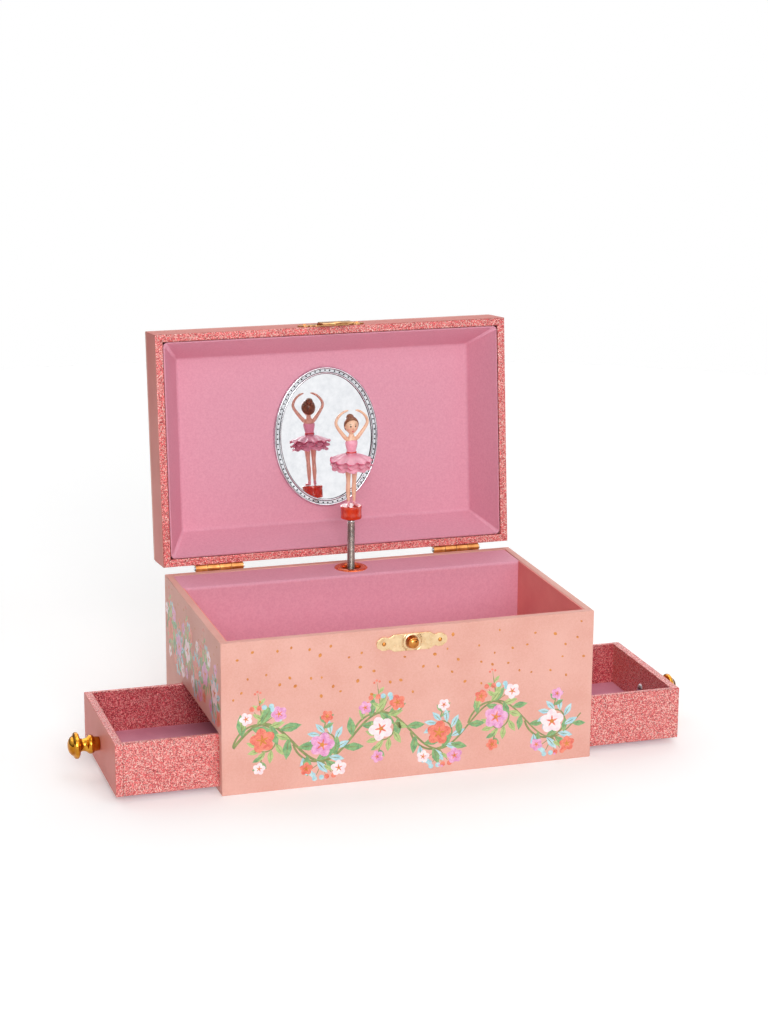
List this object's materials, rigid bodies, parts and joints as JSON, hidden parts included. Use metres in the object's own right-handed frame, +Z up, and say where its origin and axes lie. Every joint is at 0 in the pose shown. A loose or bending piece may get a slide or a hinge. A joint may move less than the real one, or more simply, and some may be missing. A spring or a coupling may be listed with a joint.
{
  "type": "ballerina jewellery box",
  "caption": "Musical jewellery box with a hinged mirror lid, a main compartment, a pull-out drawer at each end and a dancer that turns on a folding spring.",
  "frame": {"origin": "centre of the underside of the case, on the surface that it stands on", "axes": "+X to the right along the front, +Y from the front to the back, +Z up"},
  "size_m": [0.339, 0.1723, 0.2144],
  "materials": {
    "peach_paper_board": "board wrapped in glossy printed paper",
    "glitter_paper_board": "board wrapped in glitter paper",
    "pink_lining": "matt coloured paper",
    "coral_lining": "matt coloured paper",
    "bare_board": "plain fibreboard",
    "brass": "polished thin brass plate",
    "steel": "bright drawn steel",
    "mirror_glass": "silvered",
    "silver_frame": "metallised plastic",
    "copper_ring": "glossy copper orange",
    "red_plug": "glossy red orange",
    "dancer_resin": "hand-painted resin",
    "tutu_resin": "hand-painted resin",
    "cast_metal": "plated casting"
  },
  "bodies": {
    "box": {"base_board": "bare_board", "front_panel": "peach_paper_board", "back_panel": "peach_paper_board", "left_side_panel": "peach_paper_board", "right_side_panel": "peach_paper_board", "drawer_front_rail": "bare_board", "drawer_rear_rail": "bare_board", "drawer_divider": "bare_board", "compartment_deck": "bare_board", "well_partition": "pink_lining", "ledge_top": "pink_lining", "compartment_lining": "coral_lining", "compartment_floor_pad": "pink_lining", "spindle_ring": "copper_ring", "lock_plate": "brass", "lock_stud": "brass", "box_nails": "brass", "hinge_leaf_body_left": "brass", "hinge_leaf_body_right": "brass", "hinge_pins": "steel", "movement_bedplate": "cast_metal", "tone_comb": "steel", "movement_screws": "steel", "winding_bush": "brass"},
    "lid": {"lid_top_board": "peach_paper_board", "lid_front_wall": "peach_paper_board", "lid_right_wall": "peach_paper_board", "lid_back_wall": "peach_paper_board", "lid_left_wall": "peach_paper_board", "lid_tray": "pink_lining", "mirror_frame": "silver_frame", "mirror_glass": "mirror_glass", "lid_hasp": "brass", "lid_nails": "brass", "hinge_leaf_lid_left": "brass", "hinge_leaf_lid_right": "brass"},
    "drawer_left": {"drawer_left_end_board": "peach_paper_board", "drawer_left_walls": "glitter_paper_board", "drawer_left_floor": "pink_lining", "drawer_left_knob": "brass", "drawer_left_knob_screw": "steel"},
    "drawer_right": {"drawer_right_end_board": "peach_paper_board", "drawer_right_walls": "glitter_paper_board", "drawer_right_floor": "pink_lining", "drawer_right_knob": "brass", "drawer_right_knob_screw": "steel"},
    "dancer_carrier": {"dancer_spring": "steel", "spring_cap": "steel"},
    "dancer": {"dancer_plug": "red_plug", "dancer_figure": "dancer_resin", "dancer_tutu": "tutu_resin"},
    "tune_drum": {"tune_cylinder": "brass", "cylinder_arbor": "steel"},
    "winder": {"winding_barrel": "brass", "mainspring": "steel", "winding_arbor": "steel", "winding_key": "brass"},
    "train": {"train_wheel": "brass"},
    "fly": {"governor_fly": "brass"}
  },
  "joints": [
    {"name": "lid_hinge", "type": "hinge", "parent": "box", "child": "lid", "pos_m": [0, 0.066, 0.08184], "axis": [1, 0, 0], "range_deg": [0, 95.64]},
    {"name": "dancer_fold", "type": "hinge", "parent": "box", "child": "dancer_carrier", "pos_m": [0.002, 0.05, 0.085], "axis": [1, 0, 0], "range_deg": [0, 95.64], "deforming": ["dancer_spring"]},
    {"name": "cylinder_spin", "type": "hinge", "parent": "box", "child": "tune_drum", "pos_m": [0.002, 0.05, 0.05], "axis": [0, 0, 1], "continuous": true},
    {"name": "dancer_spin", "type": "hinge", "parent": "dancer_carrier", "child": "dancer", "pos_m": [0.002, 0.05, 0.085], "axis": [0, 0, 1], "continuous": true},
    {"name": "winding_turn", "type": "hinge", "parent": "box", "child": "winder", "pos_m": [0.002, 0.05, 0.0197], "axis": [0, 1, 0], "continuous": true},
    {"name": "train_spin", "type": "hinge", "parent": "box", "child": "train", "pos_m": [-0.007, 0.05, 0.05], "axis": [0, 0, 1], "continuous": true},
    {"name": "fly_spin", "type": "hinge", "parent": "box", "child": "fly", "pos_m": [-0.016, 0.05, 0.05], "axis": [0, 0, 1], "continuous": true},
    {"name": "drawer_left_slide", "type": "slide", "parent": "box", "child": "drawer_left", "axis": [-1, 0, 0], "range_m": [-0.053, 0.03]},
    {"name": "drawer_right_slide", "type": "slide", "parent": "box", "child": "drawer_right", "axis": [1, 0, 0], "range_m": [-0.053, 0.03]}
  ],
  "couplings": [
    {"joint": "dancer_fold", "follows": "lid_hinge", "ratio": 1},
    {"joint": "dancer_spin", "follows": "cylinder_spin", "ratio": 1},
    {"joint": "winding_turn", "follows": "cylinder_spin", "ratio": -0.22222},
    {"joint": "train_spin", "follows": "cylinder_spin", "ratio": -4},
    {"joint": "fly_spin", "follows": "cylinder_spin", "ratio": 16}
  ]
}
